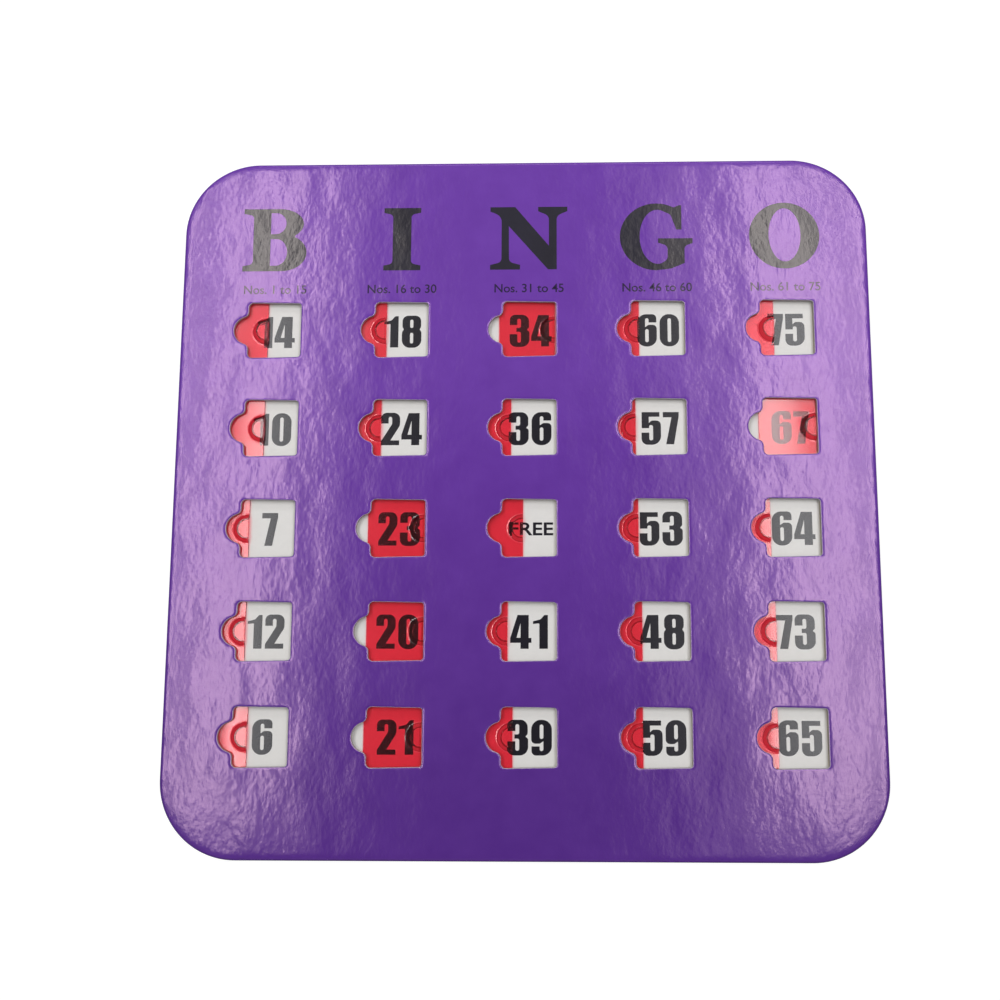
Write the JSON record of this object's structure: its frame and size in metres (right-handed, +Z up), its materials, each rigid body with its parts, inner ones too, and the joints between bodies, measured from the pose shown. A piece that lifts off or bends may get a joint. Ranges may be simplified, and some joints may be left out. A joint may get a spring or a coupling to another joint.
{
  "type": "bingo card",
  "caption": "Square bingo card of laminated board, with a translucent sliding shutter and a round thumb notch at every number window.",
  "frame": {"origin": "middle of the card's underside, on the flat back liner", "axes": "+Z up out of the printed face; +Y towards the heading; +X to the right along the rows, the way a shutter closes"},
  "size_m": [0.235, 0.235, 0.004],
  "materials": {
    "cover_print": "gloss film over purple print, lightly rippled",
    "window_board": "die-cut grey board, matte fibrous edge",
    "spacer_board": "plain chipboard, matte",
    "number_paper": "smooth white printing paper",
    "back_board": "plain grey board, matte",
    "liner_paper": "dark liner paper, fine embossed grain",
    "shutter_plastic": "translucent red moulded plastic, glossy"
  },
  "bodies": {
    "card": {"cover_wrap": "cover_print", "window_board": "window_board", "number_sheet": "number_paper", "back_board": "back_board", "back_liner": "liner_paper", "spacer_rail_1": "spacer_board", "spacer_rail_2": "spacer_board", "spacer_rail_3": "spacer_board", "spacer_rail_4": "spacer_board", "spacer_rail_5": "spacer_board", "spacer_rail_6": "spacer_board", "spacer_column_1": "spacer_board", "spacer_column_2": "spacer_board", "spacer_column_3": "spacer_board", "spacer_column_4": "spacer_board", "spacer_column_5": "spacer_board", "spacer_column_6": "spacer_board"},
    "shutter_b1": {"shutter_b1": "shutter_plastic"},
    "shutter_i1": {"shutter_i1": "shutter_plastic"},
    "shutter_n1": {"shutter_n1": "shutter_plastic"},
    "shutter_g1": {"shutter_g1": "shutter_plastic"},
    "shutter_o1": {"shutter_o1": "shutter_plastic"},
    "shutter_b2": {"shutter_b2": "shutter_plastic"},
    "shutter_i2": {"shutter_i2": "shutter_plastic"},
    "shutter_n2": {"shutter_n2": "shutter_plastic"},
    "shutter_g2": {"shutter_g2": "shutter_plastic"},
    "shutter_o2": {"shutter_o2": "shutter_plastic"},
    "shutter_b3": {"shutter_b3": "shutter_plastic"},
    "shutter_i3": {"shutter_i3": "shutter_plastic"},
    "shutter_n3": {"shutter_n3": "shutter_plastic"},
    "shutter_g3": {"shutter_g3": "shutter_plastic"},
    "shutter_o3": {"shutter_o3": "shutter_plastic"},
    "shutter_b4": {"shutter_b4": "shutter_plastic"},
    "shutter_i4": {"shutter_i4": "shutter_plastic"},
    "shutter_n4": {"shutter_n4": "shutter_plastic"},
    "shutter_g4": {"shutter_g4": "shutter_plastic"},
    "shutter_o4": {"shutter_o4": "shutter_plastic"},
    "shutter_b5": {"shutter_b5": "shutter_plastic"},
    "shutter_i5": {"shutter_i5": "shutter_plastic"},
    "shutter_n5": {"shutter_n5": "shutter_plastic"},
    "shutter_g5": {"shutter_g5": "shutter_plastic"},
    "shutter_o5": {"shutter_o5": "shutter_plastic"}
  },
  "joints": [
    {"name": "slide_b1", "type": "slide", "parent": "card", "child": "shutter_b1", "axis": [1, 0, 0], "range_m": [-0.00568, 0.01152]},
    {"name": "slide_i1", "type": "slide", "parent": "card", "child": "shutter_i1", "axis": [1, 0, 0], "range_m": [-0.00292, 0.01428]},
    {"name": "slide_n1", "type": "slide", "parent": "card", "child": "shutter_n1", "axis": [1, 0, 0], "range_m": [-0.01686, 0.00034]},
    {"name": "slide_g1", "type": "slide", "parent": "card", "child": "shutter_g1", "axis": [1, 0, 0], "range_m": [-0.00189, 0.01531]},
    {"name": "slide_o1", "type": "slide", "parent": "card", "child": "shutter_o1", "axis": [1, 0, 0], "range_m": [-0.00396, 0.01324]},
    {"name": "slide_b2", "type": "slide", "parent": "card", "child": "shutter_b2", "axis": [1, 0, 0], "range_m": [-0.0055, 0.0117]},
    {"name": "slide_i2", "type": "slide", "parent": "card", "child": "shutter_i2", "axis": [1, 0, 0], "range_m": [-0.00172, 0.01548]},
    {"name": "slide_n2", "type": "slide", "parent": "card", "child": "shutter_n2", "axis": [1, 0, 0], "range_m": [-0.00206, 0.01514]},
    {"name": "slide_g2", "type": "slide", "parent": "card", "child": "shutter_g2", "axis": [1, 0, 0], "range_m": [-0.00034, 0.01686]},
    {"name": "slide_o2", "type": "slide", "parent": "card", "child": "shutter_o2", "axis": [1, 0, 0], "range_m": [-0.01703, 0.00017]},
    {"name": "slide_b3", "type": "slide", "parent": "card", "child": "shutter_b3", "axis": [1, 0, 0], "range_m": [-0.00172, 0.01548]},
    {"name": "slide_i3", "type": "slide", "parent": "card", "child": "shutter_i3", "axis": [1, 0, 0], "range_m": [-0.01703, 0.00017]},
    {"name": "slide_n3", "type": "slide", "parent": "card", "child": "shutter_n3", "axis": [1, 0, 0], "range_m": [-0.00619, 0.01101]},
    {"name": "slide_g3", "type": "slide", "parent": "card", "child": "shutter_g3", "axis": [1, 0, 0], "range_m": [-0.00086, 0.01634]},
    {"name": "slide_o3", "type": "slide", "parent": "card", "child": "shutter_o3", "axis": [1, 0, 0], "range_m": [-0.00086, 0.01634]},
    {"name": "slide_b4", "type": "slide", "parent": "card", "child": "shutter_b4", "axis": [1, 0, 0], "range_m": [-0.00172, 0.01548]},
    {"name": "slide_i4", "type": "slide", "parent": "card", "child": "shutter_i4", "axis": [1, 0, 0], "range_m": [-0.0172, 0]},
    {"name": "slide_n4", "type": "slide", "parent": "card", "child": "shutter_n4", "axis": [1, 0, 0], "range_m": [-0.0012, 0.016]},
    {"name": "slide_g4", "type": "slide", "parent": "card", "child": "shutter_g4", "axis": [1, 0, 0], "range_m": [-0.00172, 0.01548]},
    {"name": "slide_o4", "type": "slide", "parent": "card", "child": "shutter_o4", "axis": [1, 0, 0], "range_m": [-0.00172, 0.01548]},
    {"name": "slide_b5", "type": "slide", "parent": "card", "child": "shutter_b5", "axis": [1, 0, 0], "range_m": [-0.00361, 0.01359]},
    {"name": "slide_i5", "type": "slide", "parent": "card", "child": "shutter_i5", "axis": [1, 0, 0], "range_m": [-0.01703, 0.00017]},
    {"name": "slide_n5", "type": "slide", "parent": "card", "child": "shutter_n5", "axis": [1, 0, 0], "range_m": [-0.00292, 0.01428]},
    {"name": "slide_g5", "type": "slide", "parent": "card", "child": "shutter_g5", "axis": [1, 0, 0], "range_m": [-0.00155, 0.01565]},
    {"name": "slide_o5", "type": "slide", "parent": "card", "child": "shutter_o5", "axis": [1, 0, 0], "range_m": [-0.00138, 0.01582]}
  ]
}
